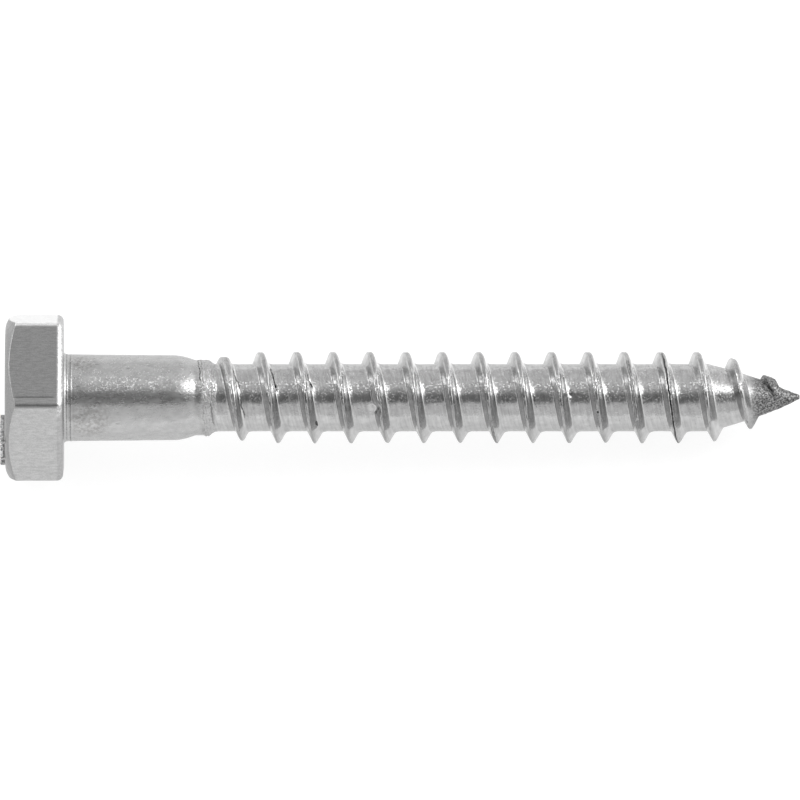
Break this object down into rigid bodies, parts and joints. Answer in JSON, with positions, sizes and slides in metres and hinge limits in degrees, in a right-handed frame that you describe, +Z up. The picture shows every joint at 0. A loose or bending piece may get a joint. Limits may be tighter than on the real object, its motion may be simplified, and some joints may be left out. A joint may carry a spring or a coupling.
{
  "type": "lag screw",
  "caption": "Hexagon head lag screw with a plain shank under the head, a coarse wood thread and a gimlet point.",
  "frame": {"origin": "centre of the bearing face under the head, on the screw's axis", "axes": "the screw lies at rest, seen by gravity along -Z: +X runs from the head to the point, with the screw's own axis dipping 3.075 degrees below +X; +Z is up, square to the floor the screw lies on; +Y completes the right-handed set"},
  "size_m": [0.0559, 0.0128, 0.0112],
  "materials": {
    "steel": "bare stainless steel, satin from forging and tumbling, brighter on the rolled thread"
  },
  "bodies": {
    "root": {"lag_screw": "steel"}
  },
  "joints": []
}
